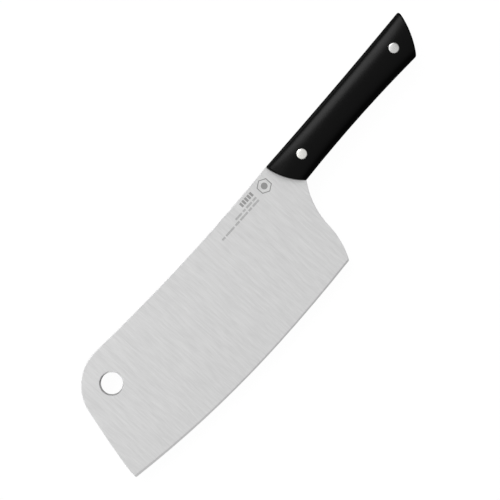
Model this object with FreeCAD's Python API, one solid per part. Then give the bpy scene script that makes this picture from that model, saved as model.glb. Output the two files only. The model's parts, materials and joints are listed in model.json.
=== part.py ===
import FreeCAD, Part
import math
import os

# Meat cleaver: a full-tang blade with a hanging hole, two moulded handle scales and two cutler's rivets.
#
# Everything is drawn in millimetres about the front top corner of the handle: +X runs to the butt, +Y to
# the spine and +Z out of the blade's face, and z = 0 is the middle of the steel. When all pieces are made
# they are moved together, so that the origin is the centre of the footprint of the cleaver lying flat.

V = FreeCAD.Vector
UP = V(0, 0, 1)

# Steel.
TANG_THICKNESS = 3.0
EDGE_THICKNESS = 0.8
BEVEL_WIDTH = 1.0
BEVEL_FLAT = 0.1
OUTLINE_BREAK = 0.2
SHARP_CORNER_ROUNDING = 0.8

# Outline of the blade, counter-clockwise from the handle.
SPINE_AT_HANDLE = V(0, 0.5)
SPINE_MIDDLE = V(-75, -0.9)
FRONT_TOP_CORNER = V(-169.1, 4.1)
FRONT_TOP_ROUNDING = 27.5
FRONT_BEND = V(-184.5, -54)
FRONT_BEND_LEAN = 12.4
TOE = V(-186, -64.6)
BELLY = V(-72, -74.35)
HEEL = V(-8.1, -72.35)
HEEL_BEND = V(-0.7, -49.2)
HEEL_BEND_LEAN = 4.5
TANG_FRONT_UNDER = V(10.1, -22.25)

# Outline of the handle, which the tang shares behind its front end.
UNDERSIDE_MIDDLE = V(58, -20.6)
BUTT_UNDER = V(106.5, -21.6)
BUTT_MIDDLE = V(114.1, -9.2)
BUTT_TOP = V(119.2, 3.75)
TOP_MIDDLE = V(60, 1.65)
SCALE_FRONT_TOP = V(-0.5, 1.5)
SCALE_FRONT_MIDDLE = V(2.45, -11.2)
SCALE_FRONT_UNDER = V(10.7, -23.15)

# Hanging hole.
HOLE_CENTRE = V(-154.55, -17.2)
HOLE_RADIUS = 6.45
HOLE_CHAMFER = 0.8

# Handle scales. The section's control points are fractions of half the width and of the height.
SCALE_HEIGHT = 7.8
SCALE_THICKEST_AT = 70.0
SCALE_FRONT_THINNING = 0.9
FRONT_SLOPE_LENGTH = 24.0
FRONT_SLOPE_DROP = 1.5
BUTT_SLOPE_START = 95.0
BUTT_SLOPE_LENGTH = 24.0
BUTT_SLOPE_DROP = 1.4
SECTION_POLES = [(1, 0.12), (1, 0.34), (0.9, 0.64), (0.6, 0.86), (0.22, 1.006)]
SECTION_STATIONS = [-8, 20, 48, 76, 104, 132]
SCALE_ROUNDING = 1.2

# Cutler's rivets: a solid pin pressed into a tubular sleeve, each with a low domed head.
RIVET_PLACES = {"front_rivet": V(19.2, -10.1), "rear_rivet": V(100.4, -8.7)}
RIVET_HEAD_RADIUS = 3.25
RIVET_HEAD_DEPTH = 1.6
RIVET_DOME_RADIUS = 14.0
RIVET_RIM_ROUNDING = 0.7
RIVET_PROUD = 0.35
SLEEVE_RADIUS = 2.4
PIN_RADIUS = 1.5
PIN_END_GAP = 0.4
RIVET_CLEARANCE = 0.04

# Half the steel's thickness, and the slope of each face that thins it towards the edge.
TANG_HALF = TANG_THICKNESS / 2
TAPER_TOP = 2.3
TAPER_SLOPE = (TANG_THICKNESS - EDGE_THICKNESS) / 2 / (TAPER_TOP - BELLY.y - BEVEL_WIDTH)
BEVEL_SLOPE = (EDGE_THICKNESS - BEVEL_FLAT) / 2 / BEVEL_WIDTH

# How far cutting tools reach past what they cut.
PAST = 20.0


def line(start, end):
    return Part.LineSegment(start, end).toShape()


def arc(start, middle, end):
    return Part.Arc(start, middle, end).toShape()


def circle_leaving(start, direction, end):
    """Centre of the circle that leaves start in a direction and passes through end."""
    normal = UP.cross(direction).normalize()
    chord = end - start
    return start + normal * (chord.dot(chord) / (2 * chord.dot(normal)))


def arc_leaving(start, direction, end):
    """Arc from start to end that leaves start in a direction."""
    centre = circle_leaving(start, direction, end)
    outwards = ((start + end) / 2 - centre).normalize()
    return arc(start, centre + outwards * (start - centre).Length, end)


def leaning(degrees):
    """Direction that leans from the Y axis towards the handle."""
    return V(math.sin(math.radians(degrees)), math.cos(math.radians(degrees)))


def prism(edges, low, high):
    """Solid between two heights, over a closed outline."""
    face = Part.Face(Part.Wire(Part.__sortEdges__(edges)))
    face.translate(V(0, 0, low))
    return face.extrude(V(0, 0, high - low))


def disc(centre, radius, low, high):
    return Part.makeCylinder(radius, high - low, V(centre.x, centre.y, low))


def mirrored(shape):
    """The same shape on the other face of the steel."""
    return shape.mirror(V(), UP)


def face_height(y):
    """Height of the blade's upper face, which falls in a straight taper from the spine to the edge."""
    return TANG_HALF - (TAPER_TOP - y) * TAPER_SLOPE


def steel_outline():
    up_the_front = leaning(FRONT_BEND_LEAN)
    up_the_heel = leaning(HEEL_BEND_LEAN)
    return [
        arc(SPINE_AT_HANDLE, SPINE_MIDDLE, FRONT_TOP_CORNER),
        arc_leaving(FRONT_BEND, up_the_front, FRONT_TOP_CORNER),
        arc_leaving(FRONT_BEND, -up_the_front, TOE),
        arc_leaving(BELLY, V(-1, 0), TOE),
        arc_leaving(BELLY, V(1, 0), HEEL),
        arc_leaving(HEEL_BEND, -up_the_heel, HEEL),
        arc_leaving(HEEL_BEND, up_the_heel, TANG_FRONT_UNDER),
        arc(TANG_FRONT_UNDER, UNDERSIDE_MIDDLE, BUTT_UNDER),
        arc(BUTT_UNDER, BUTT_MIDDLE, BUTT_TOP),
        arc(BUTT_TOP, TOP_MIDDLE, SPINE_AT_HANDLE),
    ]


def upright_edge_at(solid, corner):
    """The edge of a prism that stands on a corner of its outline."""
    def off_corner(edge):
        return math.hypot(edge.CenterOfMass.x - corner.x, edge.CenterOfMass.y - corner.y)
    return min(solid.Edges, key=off_corner)


def steel_plate():
    """Blade and tang at full thickness, with the outline's corners rounded."""
    plate = prism(steel_outline(), -TANG_HALF, TANG_HALF)
    plate = plate.makeFillet(FRONT_TOP_ROUNDING, [upright_edge_at(plate, FRONT_TOP_CORNER)])
    for corner in (TOE, HEEL, BUTT_UNDER, BUTT_TOP):
        plate = plate.makeFillet(SHARP_CORNER_ROUNDING, [upright_edge_at(plate, corner)])
    return plate


def handle_plan(low, high):
    """Prism as long as the handle, with its curved front and butt, and wider than it."""
    under_front = V(SCALE_FRONT_UNDER.x, SCALE_FRONT_UNDER.y - PAST)
    under_butt = V(BUTT_UNDER.x, BUTT_UNDER.y - PAST)
    top_butt = V(BUTT_TOP.x, BUTT_TOP.y + PAST)
    top_front = V(SCALE_FRONT_TOP.x, SCALE_FRONT_TOP.y + PAST)
    return prism(
        [
            line(top_front, SCALE_FRONT_TOP),
            arc(SCALE_FRONT_TOP, SCALE_FRONT_MIDDLE, SCALE_FRONT_UNDER),
            line(SCALE_FRONT_UNDER, under_front),
            line(under_front, under_butt),
            line(under_butt, BUTT_UNDER),
            arc(BUTT_UNDER, BUTT_MIDDLE, BUTT_TOP),
            line(BUTT_TOP, top_butt),
            line(top_butt, top_front),
        ],
        low,
        high,
    )


def taper_cutter():
    """What the grinding takes off the upper face, up to the front of the handle."""
    low_side = BELLY.y - PAST
    high_side = TAPER_TOP + PAST
    start_x = TOE.x - PAST
    corners = [
        V(start_x, low_side, face_height(low_side)),
        V(start_x, high_side, face_height(high_side)),
        V(start_x, high_side, PAST),
        V(start_x, low_side, PAST),
    ]
    profile = Part.Face(Part.makePolygon(corners + corners[:1]))
    removed = profile.extrude(V(BUTT_UNDER.x - start_x, 0, 0))
    return removed.cut(handle_plan(-PAST, PAST))


def bevel_cutter(end, turn):
    """What the sharpening takes off the upper face between the belly and one end of the edge."""
    centre = circle_leaving(BELLY, V(1, 0), end)
    reach = 3 * BEVEL_WIDTH
    corners = [
        V(BELLY.x, BELLY.y - reach, BEVEL_FLAT / 2 - reach * BEVEL_SLOPE),
        V(BELLY.x, BELLY.y + reach, BEVEL_FLAT / 2 + reach * BEVEL_SLOPE),
        V(BELLY.x, BELLY.y + reach, TANG_THICKNESS),
        V(BELLY.x, BELLY.y - reach, TANG_THICKNESS),
    ]
    profile = Part.Face(Part.makePolygon(corners + corners[:1]))
    length = abs(end.x - BELLY.x) + reach
    sweep = math.degrees(math.asin(length / (centre - BELLY).Length))
    return profile.revolve(centre, UP, turn * sweep)


def hanging_hole():
    """Through hole with its chamfer on the upper face."""
    chamfer_low = face_height(HOLE_CENTRE.y) - HOLE_CHAMFER
    chamfer_height = HOLE_CHAMFER + 1
    chamfer = Part.makeCone(
        HOLE_RADIUS,
        HOLE_RADIUS + chamfer_height,
        chamfer_height,
        V(HOLE_CENTRE.x, HOLE_CENTRE.y, chamfer_low),
    )
    return disc(HOLE_CENTRE, HOLE_RADIUS, -TANG_THICKNESS, TANG_THICKNESS).fuse(chamfer)


def blade_rim(blade):
    """The long edges around the tapered faces, apart from the bevel, the hole and the handle's front."""
    rim = []
    for edge in blade.Edges:
        middle = edge.valueAt((edge.FirstParameter + edge.LastParameter) / 2)
        on_a_face = abs(abs(middle.z) - face_height(middle.y)) < 1e-4
        by_the_hole = (middle - HOLE_CENTRE).Length < 2 * HOLE_RADIUS
        at_the_handle = middle.x > SPINE_AT_HANDLE.x and middle.y > TANG_FRONT_UNDER.y
        along_the_edge = middle.y < BELLY.y / 2 and abs(edge.tangentAt(edge.FirstParameter).x) > 0.9
        if on_a_face and not (by_the_hole or at_the_handle or along_the_edge):
            rim.append(edge)
    return rim


def make_blade():
    blade = steel_plate()
    cutters = [taper_cutter(), bevel_cutter(TOE, -1), bevel_cutter(HEEL, 1), hanging_hole()]
    for cutter in cutters:
        blade = blade.cut(cutter).cut(mirrored(cutter))
    blade = blade.makeFillet(OUTLINE_BREAK, blade_rim(blade))
    for place in RIVET_PLACES.values():
        blade = blade.cut(disc(place, SLEEVE_RADIUS + RIVET_CLEARANCE, -PAST, PAST))
    return blade


def height_on(handle_side, x):
    """Y of one long side of the handle, an arc given by three points, at a place along the handle."""
    circle = arc(*handle_side).Curve
    rise = math.sqrt(circle.Radius**2 - (x - circle.Center.x) ** 2)
    side = math.copysign(1, handle_side[1].y - circle.Center.y)
    return circle.Center.y + side * rise


def scale_height(x):
    """Height of the crown above the tang's face: thickest behind the middle, and sloping off at both ends."""
    thinning = SCALE_FRONT_THINNING * ((x - SCALE_THICKEST_AT) / SCALE_THICKEST_AT) ** 2
    front_slope = FRONT_SLOPE_DROP * max(0, 1 - x / FRONT_SLOPE_LENGTH) ** 2
    butt_slope = BUTT_SLOPE_DROP * max(0, (x - BUTT_SLOPE_START) / BUTT_SLOPE_LENGTH) ** 2
    return SCALE_HEIGHT - thinning - front_slope - butt_slope


def crown_section(x):
    """Section across the upper scale: two upright walls, a crowned top, and a base below the tang's face."""
    top = height_on((SPINE_AT_HANDLE, TOP_MIDDLE, BUTT_TOP), x)
    under = height_on((TANG_FRONT_UNDER, UNDERSIDE_MIDDLE, BUTT_UNDER), x)
    centre = (top + under) / 2
    half_width = (top - under) / 2
    outline = SECTION_POLES + [(-u, v) for u, v in reversed(SECTION_POLES)]
    poles = [V(x, centre + half_width * u, TANG_HALF + scale_height(x) * v) for u, v in outline]
    crown = Part.BSplineCurve()
    crown.buildFromPoles(poles, False, 3)
    base_top = V(x, top, 0)
    base_under = V(x, under, 0)
    return Part.Wire(
        [
            line(base_top, poles[0]),
            crown.toShape(),
            line(poles[-1], base_under),
            line(base_under, base_top),
        ]
    )


def end_rim(scale):
    """The edges around the scale's front and butt, apart from those on the tang's face."""
    rim = []
    for face in scale.Faces:
        if isinstance(face.Surface, Part.Cylinder):
            rim += [edge for edge in face.Edges if edge.BoundBox.ZMax > TANG_HALF + 0.01]
    return rim


def make_scale():
    """The upper handle scale, with its rivet holes and the sunk seats of the rivet heads."""
    crown = Part.makeLoft([crown_section(x) for x in SECTION_STATIONS], True, False)
    scale = crown.common(handle_plan(TANG_HALF, PAST))
    scale = scale.makeFillet(SCALE_ROUNDING, end_rim(scale))
    for place in RIVET_PLACES.values():
        scale = scale.cut(disc(place, SLEEVE_RADIUS + RIVET_CLEARANCE, 0, PAST))
        scale = scale.cut(disc(place, RIVET_HEAD_RADIUS + RIVET_CLEARANCE, head_seat(place), PAST))
    return scale


def head_seat(place):
    """Height of the seat that a rivet's head is drawn down on to."""
    return TANG_HALF + scale_height(place.x) - RIVET_HEAD_DEPTH


def rivet_head(place):
    """Low domed head with a rounded rim, which fills its seat and stands just proud of the crown."""
    top = head_seat(place) + RIVET_HEAD_DEPTH + RIVET_PROUD
    blank = disc(place, RIVET_HEAD_RADIUS, head_seat(place), top)
    dome = Part.makeSphere(RIVET_DOME_RADIUS, V(place.x, place.y, top - RIVET_DOME_RADIUS))
    head = blank.common(dome)
    rims = [edge for edge in head.Edges if edge.Closed and edge.Length > RIVET_HEAD_RADIUS]
    upper_rim = max(rims, key=lambda edge: edge.BoundBox.ZMax)
    return head.makeFillet(RIVET_RIM_ROUNDING, [upper_rim])


def make_rivet_pin(place):
    """The half with its head in the upper scale, and a solid pin that reaches down into the sleeve."""
    pin = disc(place, PIN_RADIUS, PIN_END_GAP - head_seat(place), head_seat(place))
    return rivet_head(place).fuse(pin).removeSplitter()


def make_rivet_sleeve(place):
    """The half with its head in the lower scale, and a tubular sleeve that stops short of the other head."""
    seat = head_seat(place)
    sleeve = disc(place, SLEEVE_RADIUS, -seat, seat - PIN_END_GAP)
    bore = disc(place, PIN_RADIUS, -seat, seat)
    return mirrored(rivet_head(place)).fuse(sleeve).removeSplitter().cut(bore)


def cleaver():
    """Every piece by name, in the drawing's own place."""
    upper_scale = make_scale()
    pieces = {"blade": make_blade(), "upper_scale": upper_scale, "lower_scale": mirrored(upper_scale)}
    for name, place in RIVET_PLACES.items():
        pieces[name + "_pin"] = make_rivet_pin(place)
        pieces[name + "_sleeve"] = make_rivet_sleeve(place)
    return pieces


def move_to_footprint_centre(pieces):
    """Puts the origin under the middle of the cleaver, on the surface that it lies on."""
    box = FreeCAD.BoundBox()
    for shape in pieces.values():
        box.add(shape.optimalBoundingBox())
    for shape in pieces.values():
        shape.translate(V(-box.Center.x, -box.Center.y, -box.ZMin))


os.makedirs("parts", exist_ok=True)
cleaver_pieces = cleaver()
move_to_footprint_centre(cleaver_pieces)
for node, shape in cleaver_pieces.items():
    shape.exportStep(f"parts/{node}.step")
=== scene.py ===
import json
import math

import bpy
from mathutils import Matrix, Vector


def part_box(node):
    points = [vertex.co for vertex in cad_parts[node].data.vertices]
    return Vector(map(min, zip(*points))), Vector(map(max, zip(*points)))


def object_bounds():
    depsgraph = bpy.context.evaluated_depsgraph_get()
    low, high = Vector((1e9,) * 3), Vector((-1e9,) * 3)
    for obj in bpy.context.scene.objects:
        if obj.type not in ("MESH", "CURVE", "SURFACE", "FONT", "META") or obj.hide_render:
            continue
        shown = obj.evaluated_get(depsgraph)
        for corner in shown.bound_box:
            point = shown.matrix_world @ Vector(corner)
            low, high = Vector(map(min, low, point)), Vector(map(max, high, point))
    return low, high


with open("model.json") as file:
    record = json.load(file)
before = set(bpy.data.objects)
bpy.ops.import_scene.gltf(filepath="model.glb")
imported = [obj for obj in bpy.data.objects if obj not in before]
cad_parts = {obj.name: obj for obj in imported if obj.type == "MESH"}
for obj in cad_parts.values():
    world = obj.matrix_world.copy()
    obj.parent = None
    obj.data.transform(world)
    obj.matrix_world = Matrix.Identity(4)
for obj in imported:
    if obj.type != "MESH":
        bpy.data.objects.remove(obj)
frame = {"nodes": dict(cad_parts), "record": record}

cad_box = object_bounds()

MM = 0.001


def centre_of(node):
    low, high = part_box(node)
    return (low + high) / 2


FRONT_RIVET = centre_of("front_rivet_pin")
HOLE = Vector(next(m["pos_m"] for m in frame["record"]["mounts"] if m["name"] == "hang_hole"))

# Etched marks by the handle: a plain hexagon round a disc, five plain blocks and two rows of hatched dashes.
BADGE_AT = (FRONT_RIVET.x - 28.2 * MM, FRONT_RIVET.y + 3.9 * MM)
BADGE_HALF_ACROSS = 3.8 * MM
BADGE_HALF_LINE = 0.24 * MM
BADGE_DISC_RADIUS = 2.0 * MM
BADGE_DISC_DEPTH = 0.85
BLOCKS_END = (FRONT_RIVET.x - 36.2 * MM, FRONT_RIVET.y + 6.3 * MM)
BLOCK_COUNT = 5
BLOCK_PITCH = 2.1 * MM
BLOCK_HALF = (0.72 * MM, 1.45 * MM)
BLOCK_DEPTH = 0.8
# Each row's end nearest the handle, and the lengths of its dashes from there in millimetres.
DASH_ROWS = (
    ((FRONT_RIVET.x - 36.2 * MM, FRONT_RIVET.y + 3.0 * MM), (3.0, 4.6, 2.2, 5.4)),
    ((FRONT_RIVET.x - 36.4 * MM, FRONT_RIVET.y + 0.8 * MM), (5.2, 2.6, 6.4, 3.4, 7.2, 2.4)),
)
DASH_GAP = 0.9 * MM
DASH_HALF_HEIGHT = 0.62 * MM
DASH_DEPTH = 0.72
HATCH_PITCH = 0.42 * MM
HATCH_LINE = (0.06 * MM, 0.15 * MM)
HATCH_FLOOR = 0.35
MARK_SOFT = 0.06 * MM
MARK_DARKENING = 0.62
MARK_ROUGHENING = 0.14
MARK_RELIEF = -1.2

# Noise layers. Each has its density per metre, its detail and its roughness. A stretched layer has,
# before them, its share of that density along each axis and its turn about Z in radians.
# A swing is how far a layer moves a value as it goes from 0 to 1. A bump is a strength and a depth.

BLADE_SWAY = ((1.0, 0.5, 1.0), 0.0, 130.0, 2.0, 0.5)
BLADE_SWAY_WIDTH = 1.6 * MM
BLADE_BROAD_LINES = ((1.0, 0.1, 1.0), 0.02, 700.0, 3.0, 0.6)
BLADE_FINE_LINES = ((1.0, 0.05, 1.0), -0.015, 2200.0, 3.0, 0.65)
BLADE_HAIR_LINES = ((1.0, 0.012, 1.0), 0.01, 9000.0, 2.0, 0.5)
BLADE_CLOUD = (18.0, 2.0, 0.5)
BLADE_TONE = 0.93
BLADE_TONE_SWINGS = {"broad": 0.24, "fine": 0.14, "hair": 0.05, "cloud": 0.02}
BLADE_ROUGHNESS = 0.36
BLADE_ROUGHNESS_SWINGS = {"fine": 0.12, "hair": 0.1}
BLADE_ANISOTROPY = 0.6
BLADE_FINE_RELIEF = 0.6
BLADE_HAIR_RELIEF = 0.4
BLADE_BUMP = (0.25, 0.004 * MM)
# The bevel, told from the faces by how far its normal leans along Y.
BEVEL_LEAN = (0.12, 0.2)
BEVEL_ROUGHNESS = -0.06
# Least upward part of the normal on the face that is etched.
UPPER_FACE = 0.9
# The broken edge: neither face nor bevel, and away from the hole. Its darkening is painted shade that dims
# the edge's glint on the spine side and at the ends; its extra roughness is its own.
EDGE_LEAN = (0.985, 0.93)
EDGE_SIDE = (-0.25, -0.12)
EDGE_OFF_HOLE = (9 * MM, 10 * MM)
EDGE_PAINTED_SHADE = 0.08
EDGE_ROUGHNESS = 0.5

PLASTIC_GRAIN = (1500.0, 3.0, 0.6)
PLASTIC_PORES = (5200.0, 2.0, 0.5)
PLASTIC_HANDLING = ((0.35, 1.0, 1.0), 0.0, 90.0, 3.0, 0.55)
PLASTIC_TONE = 0.0008
PLASTIC_TONE_SWINGS = {"grain": 0.0008}
PLASTIC_TINT = (1.0, 1.0, 1.04)
PLASTIC_ROUGHNESS = 0.3
PLASTIC_ROUGHNESS_SWINGS = {"handling": 0.1, "grain": 0.08}
PLASTIC_SPECULAR = 0.12
PLASTIC_GRAIN_RELIEF = 0.65
PLASTIC_PORES_RELIEF = 0.35
PLASTIC_BUMP = (0.35, 0.03 * MM)

# Each rivet's tone, the turn of its linishing in radians, and its tint. The rear rivet's lower tone is
# painted shade, a darker copy of the same steel.
RIVET_LOOKS = {
    "front_rivet": (0.98, 0.9, (1.0, 0.99, 0.95)),
    # Painted shade: the rear rivet's tone is lowered so it looks shaded.
    "rear_rivet": (0.79, -0.7, (1.0, 1.0, 0.99)),
}
RIVET_LINES_STRETCH = (1.0, 0.06, 1.0)
RIVET_LINES = (2300.0, 3.0, 0.6)
RIVET_HAIR_STRETCH = (1.0, 0.03, 1.0)
RIVET_HAIR = (9000.0, 2.0, 0.5)
RIVET_TONE_SWINGS = {"lines": 0.16, "hair": 0.08}
RIVET_ROUGHNESS = 0.29
RIVET_ROUGHNESS_SWINGS = {"lines": 0.14}
RIVET_RIM = (2.6 * MM, 3.2 * MM)
RIVET_RIM_ROUGHNESS = 0.08
RIVET_HAIR_RELIEF = 0.5
RIVET_BUMP = (0.3, 0.006 * MM)

# Radiance of the whole world, then its patches: compass direction and lean from the zenith of the
# middle, brightness, and the angles from the middle where it starts to fade and where it ends, in degrees.
WORLD_BASE = 0.22
PATCHES = (
    (200.0, 12.0, 0.455, 24.0, 66.0),
    (140.0, 33.0, 1.5, 4.0, 18.0),
    (78.0, 46.0, 6.4, 5.0, 21.0),
    (270.0, 75.0, -0.14, 25.0, 40.0),
)
# Share of that light that is left low down, and the heights of direction between which it fades.
BELOW_SHARE = 0.2
BELOW_FADE = (-0.55, -0.1)
# The lit table: a band below the horizon, by the height of the direction, on one side of the compass.
TABLE_TOWARDS = 172.0
TABLE_BRIGHTNESS = 1.8
TABLE_SIDE = (-0.2, 0.35)
TABLE_TOP = (0.06, -0.08)
TABLE_BOTTOM = (-0.5, -0.25)
# What the camera sees past the floor's edge.
BACKDROP = 1.05

FLOOR_SIZE = 24.0
FLOOR_COLOUR = (0.06, 0.06, 0.06, 1.0)
FLOOR_GLOW = 0.965

CAMERA_LENS = 100.0
CAMERA_SENSOR = 36.0
CAMERA_NEAREST = 0.01
CAMERA_TURN = -48.0
CAMERA_OVER = (FRONT_RIVET.x - 61.58 * MM, FRONT_RIVET.y - 14.99 * MM)
# Width of the picture at 1 mm over the middle of the steel.
PICTURE_WIDTH = 292.6 * MM
PICTURE_PLANE = 1.0 * MM


# ---------------------------------------------------------------- node helpers


class Graph:
    """Builds a node tree in plain calls: inputs are numbers, vectors or other nodes' outputs."""

    def __init__(self, tree):
        self.tree = tree
        self.tree.nodes.clear()

    def node(self, kind, inputs=None, **settings):
        made = self.tree.nodes.new(kind)
        for name, value in settings.items():
            setattr(made, name, value)
        for socket, value in (inputs or {}).items():
            self.put(value, made.inputs[socket])
        return made

    def put(self, value, socket):
        if isinstance(value, bpy.types.NodeSocket):
            self.tree.links.new(value, socket)
        else:
            socket.default_value = value

    def math(self, operation, a, b=None):
        made = self.tree.nodes.new("ShaderNodeMath")
        made.operation = operation
        for socket, value in zip(made.inputs, (a, b)):
            if value is not None:
                self.put(value, socket)
        return made.outputs[0]

    def add(self, *terms):
        total = terms[0]
        for term in terms[1:]:
            total = self.math("ADD", total, term)
        return total

    def mul(self, *factors):
        total = factors[0]
        for factor in factors[1:]:
            total = self.math("MULTIPLY", total, factor)
        return total

    def sub(self, a, b):
        return self.math("SUBTRACT", a, b)

    def swings(self, layers, weights):
        """Each weighted layer's departure from its middle value, times its weight."""
        return [
            self.mul(self.sub(layers[name], 0.5), weight) for name, weight in weights.items()
        ]

    def vector_math(self, operation, a, b=None):
        made = self.tree.nodes.new("ShaderNodeVectorMath")
        made.operation = operation
        self.put(a, made.inputs[0])
        if b is not None:
            self.put(b, made.inputs[1])
        return made

    def ramp(self, value, from_low, from_high, to_low=0.0, to_high=1.0):
        """Value mapped smoothly from one range to another and held at its ends."""
        return self.node(
            "ShaderNodeMapRange",
            {
                "Value": value,
                "From Min": from_low,
                "From Max": from_high,
                "To Min": to_low,
                "To Max": to_high,
            },
            interpolation_type="SMOOTHSTEP",
        ).outputs["Result"]

    def noise(self, vector, scale, detail, roughness):
        return self.node(
            "ShaderNodeTexNoise",
            {"Vector": vector, "Scale": scale, "Detail": detail, "Roughness": roughness},
        ).outputs["Fac"]

    def stretched_noise(self, vector, stretch, turn, scale, detail, roughness):
        """Noise in a space scaled along each axis and turned about Z."""
        mapped = self.node(
            "ShaderNodeMapping",
            {"Vector": vector, "Rotation": (0.0, 0.0, turn), "Scale": stretch},
        ).outputs["Vector"]
        return self.noise(mapped, scale, detail, roughness)

    def bump(self, strength, distance, height):
        return self.node(
            "ShaderNodeBump", {"Strength": strength, "Distance": distance, "Height": height}
        ).outputs["Normal"]

    def place(self):
        """Where a point is on its own piece."""
        return self.node("ShaderNodeTexCoord").outputs["Object"]

    def grey(self, value, tint=(1.0, 1.0, 1.0)):
        """A colour from one value and a tint."""
        shares = zip(("Red", "Green", "Blue"), tint)
        return self.node(
            "ShaderNodeCombineColor", {name: self.mul(value, share) for name, share in shares}
        ).outputs["Color"]


def new_material(name):
    material = bpy.data.materials.new(name)
    material.use_nodes = True
    return material, Graph(material.node_tree)


def finish_material(graph, inputs):
    """Principled shader with its inputs, wired to the output."""
    shader = graph.node("ShaderNodeBsdfPrincipled", inputs)
    graph.node("ShaderNodeOutputMaterial", {"Surface": shader.outputs["BSDF"]})


def dress(material, *nodes):
    for name in nodes:
        shown = frame["nodes"][name]
        shown.data.materials.clear()
        shown.data.materials.append(material)


# ---------------------------------------------------------------- etched marks


def etched_badge(graph, x, y):
    """A hexagon line round a plain disc."""
    x = graph.math("ABSOLUTE", graph.sub(x, BADGE_AT[0]))
    y = graph.math("ABSOLUTE", graph.sub(y, BADGE_AT[1]))
    slant = math.radians(30)
    slanted = graph.add(graph.mul(x, math.sin(slant)), graph.mul(y, math.cos(slant)))
    hexagon = graph.math("MAXIMUM", x, slanted)
    inner, outer = BADGE_HALF_ACROSS - BADGE_HALF_LINE, BADGE_HALF_ACROSS + BADGE_HALF_LINE
    line = graph.mul(
        graph.ramp(hexagon, inner - MARK_SOFT, inner + MARK_SOFT),
        graph.ramp(hexagon, outer - MARK_SOFT, outer + MARK_SOFT, 1.0, 0.0),
    )
    distance = graph.math("SQRT", graph.add(graph.mul(x, x), graph.mul(y, y)))
    disc_inner, disc_outer = BADGE_DISC_RADIUS - MARK_SOFT, BADGE_DISC_RADIUS + MARK_SOFT
    disc = graph.ramp(distance, disc_inner, disc_outer, BADGE_DISC_DEPTH, 0.0)
    return graph.math("MAXIMUM", line, disc)


def etched_block(graph, x, y, middle, half):
    """1 in an upright rectangle."""
    across = graph.math("ABSOLUTE", graph.sub(x, middle[0]))
    up = graph.math("ABSOLUTE", graph.sub(y, middle[1]))
    return graph.mul(
        graph.ramp(across, half[0] - MARK_SOFT, half[0] + MARK_SOFT, 1.0, 0.0),
        graph.ramp(up, half[1] - MARK_SOFT, half[1] + MARK_SOFT, 1.0, 0.0),
    )


def etched_marks(graph, x, y):
    marks = etched_badge(graph, x, y)
    for place in range(BLOCK_COUNT):
        middle = (BLOCKS_END[0] - BLOCK_HALF[0] - place * BLOCK_PITCH, BLOCKS_END[1])
        block = etched_block(graph, x, y, middle, BLOCK_HALF)
        marks = graph.math("MAXIMUM", marks, graph.mul(block, BLOCK_DEPTH))
    hatch = graph.math("PINGPONG", x, HATCH_PITCH / 2)
    hatch = graph.ramp(hatch, *HATCH_LINE, HATCH_FLOOR, 1.0)
    for (end_x, row_y), lengths in DASH_ROWS:
        for length in lengths:
            half = (length * MM / 2, DASH_HALF_HEIGHT)
            dash = etched_block(graph, x, y, (end_x - half[0], row_y), half)
            marks = graph.math("MAXIMUM", marks, graph.mul(dash, hatch, DASH_DEPTH))
            end_x -= length * MM + DASH_GAP
    return marks


# ---------------------------------------------------------------- materials


def blade_steel():
    """Satin steel with grinding lines from spine to edge, in three widths, and a faint cloudiness."""
    material, graph = new_material("blade_steel")
    place = graph.place()
    axes = graph.node("ShaderNodeSeparateXYZ", {"Vector": place}).outputs
    normal = graph.node("ShaderNodeNewGeometry").outputs["Normal"]
    tilt = graph.node("ShaderNodeSeparateXYZ", {"Vector": normal}).outputs

    # The broad and fine lines sway a little from side to side.
    sway = graph.mul(graph.stretched_noise(place, *BLADE_SWAY), BLADE_SWAY_WIDTH)
    aside = graph.node("ShaderNodeCombineXYZ", {"X": sway}).outputs["Vector"]
    wavy = graph.vector_math("ADD", place, aside).outputs["Vector"]
    layers = {
        "broad": graph.stretched_noise(wavy, *BLADE_BROAD_LINES),
        "fine": graph.stretched_noise(wavy, *BLADE_FINE_LINES),
        "hair": graph.stretched_noise(place, *BLADE_HAIR_LINES),
        "cloud": graph.noise(place, *BLADE_CLOUD),
    }

    # The bevel is ground again, so it is a little smoother. Only the upper face is etched.
    bevel = graph.ramp(graph.math("ABSOLUTE", tilt["Y"]), *BEVEL_LEAN)
    upper = graph.math("GREATER_THAN", tilt["Z"], UPPER_FACE)
    marks = graph.mul(etched_marks(graph, axes["X"], axes["Y"]), upper)
    # The broken edge round the outline is roughened by handling, and darkened with painted shade that dims
    # its glint.
    near_hole = graph.vector_math("DISTANCE", place, HOLE).outputs["Value"]
    outline_edge = graph.mul(
        graph.ramp(graph.math("ABSOLUTE", tilt["Z"]), *EDGE_LEAN),
        graph.ramp(tilt["Y"], *EDGE_SIDE),
        graph.ramp(near_hole, *EDGE_OFF_HOLE),
    )

    tone = graph.add(BLADE_TONE, *graph.swings(layers, BLADE_TONE_SWINGS))
    # Painted shade: the outline edge is darkened to dim its glint.
    tone = graph.mul(tone, graph.sub(1.0, graph.mul(outline_edge, EDGE_PAINTED_SHADE)))
    tone = graph.mul(tone, graph.sub(1.0, graph.mul(marks, MARK_DARKENING)))
    rough = graph.add(
        BLADE_ROUGHNESS,
        *graph.swings(layers, BLADE_ROUGHNESS_SWINGS),
        graph.mul(bevel, BEVEL_ROUGHNESS),
        graph.mul(outline_edge, EDGE_ROUGHNESS),
        graph.mul(marks, MARK_ROUGHENING),
    )
    relief = graph.add(
        graph.mul(layers["fine"], BLADE_FINE_RELIEF),
        graph.mul(layers["hair"], BLADE_HAIR_RELIEF),
        graph.mul(marks, MARK_RELIEF),
    )
    across = graph.node("ShaderNodeCombineXYZ", {"X": 1.0, "Y": 0.0, "Z": 0.0}).outputs["Vector"]
    finish_material(
        graph,
        {
            "Base Color": graph.grey(tone),
            "Metallic": 1.0,
            "Roughness": rough,
            "Anisotropic": BLADE_ANISOTROPY,
            "Tangent": across,
            "Normal": graph.bump(*BLADE_BUMP, relief),
        },
    )
    return material


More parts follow.
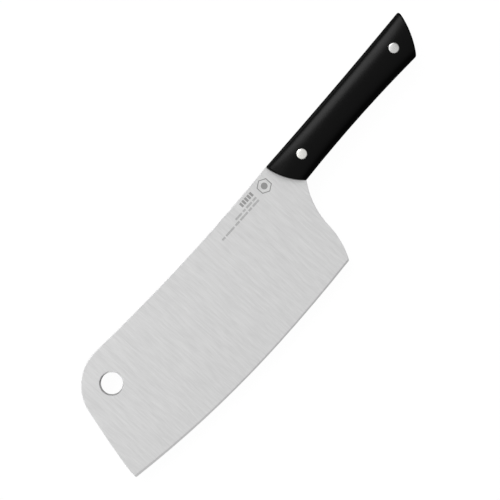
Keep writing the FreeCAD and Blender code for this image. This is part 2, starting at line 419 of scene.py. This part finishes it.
def handle_plastic():
    """Dark fine-grained moulding, polished unevenly along the handle by the hand."""
    material, graph = new_material("handle_plastic")
    place = graph.place()
    layers = {
        "grain": graph.noise(place, *PLASTIC_GRAIN),
        "pores": graph.noise(place, *PLASTIC_PORES),
        "handling": graph.stretched_noise(place, *PLASTIC_HANDLING),
    }
    tone = graph.add(PLASTIC_TONE, *graph.swings(layers, PLASTIC_TONE_SWINGS))
    rough = graph.add(PLASTIC_ROUGHNESS, *graph.swings(layers, PLASTIC_ROUGHNESS_SWINGS))
    relief = graph.add(
        graph.mul(layers["grain"], PLASTIC_GRAIN_RELIEF),
        graph.mul(layers["pores"], PLASTIC_PORES_RELIEF),
    )
    finish_material(
        graph,
        {
            "Base Color": graph.grey(tone, PLASTIC_TINT),
            "Roughness": rough,
            "Specular IOR Level": PLASTIC_SPECULAR,
            "Normal": graph.bump(*PLASTIC_BUMP, relief),
        },
    )
    return material


def rivet_steel(name, middle, tone, turn, tint):
    """Satin steel head, linished in one direction, with a rim dulled by wear."""
    material, graph = new_material(name)
    place = graph.place()
    layers = {
        "lines": graph.stretched_noise(place, RIVET_LINES_STRETCH, turn, *RIVET_LINES),
        "hair": graph.stretched_noise(place, RIVET_HAIR_STRETCH, turn, *RIVET_HAIR),
    }
    from_middle = graph.vector_math("SUBTRACT", place, (middle.x, middle.y, 0.0)).outputs["Vector"]
    level = graph.vector_math("MULTIPLY", from_middle, (1.0, 1.0, 0.0)).outputs["Vector"]
    radius = graph.vector_math("LENGTH", level).outputs["Value"]
    rim = graph.ramp(radius, *RIVET_RIM)
    value = graph.add(tone, *graph.swings(layers, RIVET_TONE_SWINGS))
    rough = graph.add(
        RIVET_ROUGHNESS,
        *graph.swings(layers, RIVET_ROUGHNESS_SWINGS),
        graph.mul(rim, RIVET_RIM_ROUGHNESS),
    )
    relief = graph.add(layers["lines"], graph.mul(layers["hair"], RIVET_HAIR_RELIEF))
    finish_material(
        graph,
        {
            "Base Color": graph.grey(value, tint),
            "Metallic": 1.0,
            "Roughness": rough,
            "Normal": graph.bump(*RIVET_BUMP, relief),
        },
    )
    return material


# ---------------------------------------------------------------- light, floor and camera


def compass(direction, lean):
    """Unit vector that leans from the zenith towards a compass direction, both in degrees."""
    turned, leaning = math.radians(direction), math.radians(lean)
    return Vector(
        (
            math.sin(leaning) * math.cos(turned),
            math.sin(leaning) * math.sin(turned),
            math.cos(leaning),
        )
    )


def studio_light():
    """Soft white world with a few brighter patches and one darker, and a lit table below the horizon."""
    world = bpy.data.worlds.new("studio")
    bpy.context.scene.world = world
    world.use_nodes = True
    graph = Graph(world.node_tree)
    towards = graph.node("ShaderNodeTexCoord").outputs["Generated"]
    towards = graph.vector_math("NORMALIZE", towards).outputs["Vector"]
    up = graph.node("ShaderNodeSeparateXYZ", {"Vector": towards}).outputs["Z"]

    light = WORLD_BASE
    for direction, lean, brightness, core, reach in PATCHES:
        facing = graph.vector_math("DOT_PRODUCT", towards, compass(direction, lean)).outputs["Value"]
        fade_end, fade_start = math.cos(math.radians(reach)), math.cos(math.radians(core))
        light = graph.add(light, graph.ramp(facing, fade_end, fade_start, 0.0, brightness))
    light = graph.mul(light, graph.ramp(up, *BELOW_FADE, BELOW_SHARE, 1.0))

    facing = graph.vector_math("DOT_PRODUCT", towards, compass(TABLE_TOWARDS, 90.0)).outputs["Value"]
    table = graph.mul(
        graph.ramp(facing, *TABLE_SIDE, 0.0, TABLE_BRIGHTNESS),
        graph.ramp(up, *TABLE_TOP),
        graph.ramp(up, *TABLE_BOTTOM),
    )
    light = graph.add(light, table)
    seen = graph.node("ShaderNodeLightPath").outputs["Is Camera Ray"]
    shown = graph.add(graph.mul(light, graph.sub(1.0, seen)), graph.mul(seen, BACKDROP))
    background = graph.node("ShaderNodeBackground", {"Color": graph.grey(shown), "Strength": 1.0})
    graph.node("ShaderNodeOutputWorld", {"Surface": background.outputs["Background"]})


def pale_floor():
    """Plain floor just under the cleaver. It glows as a lit table does, so shadows stay faint."""
    bpy.ops.mesh.primitive_plane_add(size=FLOOR_SIZE, location=(0.0, 0.0, cad_box[0].z))
    floor = bpy.context.object
    floor.name = "floor"
    material, graph = new_material("floor")
    finish_material(
        graph,
        {
            "Base Color": FLOOR_COLOUR,
            "Roughness": 1.0,
            "Specular IOR Level": 0.0,
            "Emission Color": (1.0, 1.0, 1.0, 1.0),
            "Emission Strength": FLOOR_GLOW,
        },
    )
    floor.data.materials.append(material)
    floor.visible_glossy = False
    floor.visible_diffuse = False


def straight_down_camera():
    """Camera over the cleaver, turned so that the handle points up to the right."""
    data = bpy.data.cameras.new("camera")
    data.lens = CAMERA_LENS
    data.sensor_width = CAMERA_SENSOR
    data.clip_start = CAMERA_NEAREST
    camera = bpy.data.objects.new("camera", data)
    bpy.context.scene.collection.objects.link(camera)
    distance = PICTURE_WIDTH * CAMERA_LENS / CAMERA_SENSOR
    height = centre_of("blade").z + PICTURE_PLANE + distance
    camera.location = (CAMERA_OVER[0], CAMERA_OVER[1], height)
    camera.rotation_euler = (0.0, 0.0, math.radians(CAMERA_TURN))
    bpy.context.scene.camera = camera


# ---------------------------------------------------------------- the scene


dress(blade_steel(), "blade")
dress(handle_plastic(), "upper_scale", "lower_scale")
for rivet, look in RIVET_LOOKS.items():
    pin, sleeve = rivet + "_pin", rivet + "_sleeve"
    dress(rivet_steel(rivet + "_steel", centre_of(pin), *look), pin, sleeve)
studio_light()
pale_floor()
straight_down_camera()
bpy.context.scene.view_settings.view_transform = "Standard"
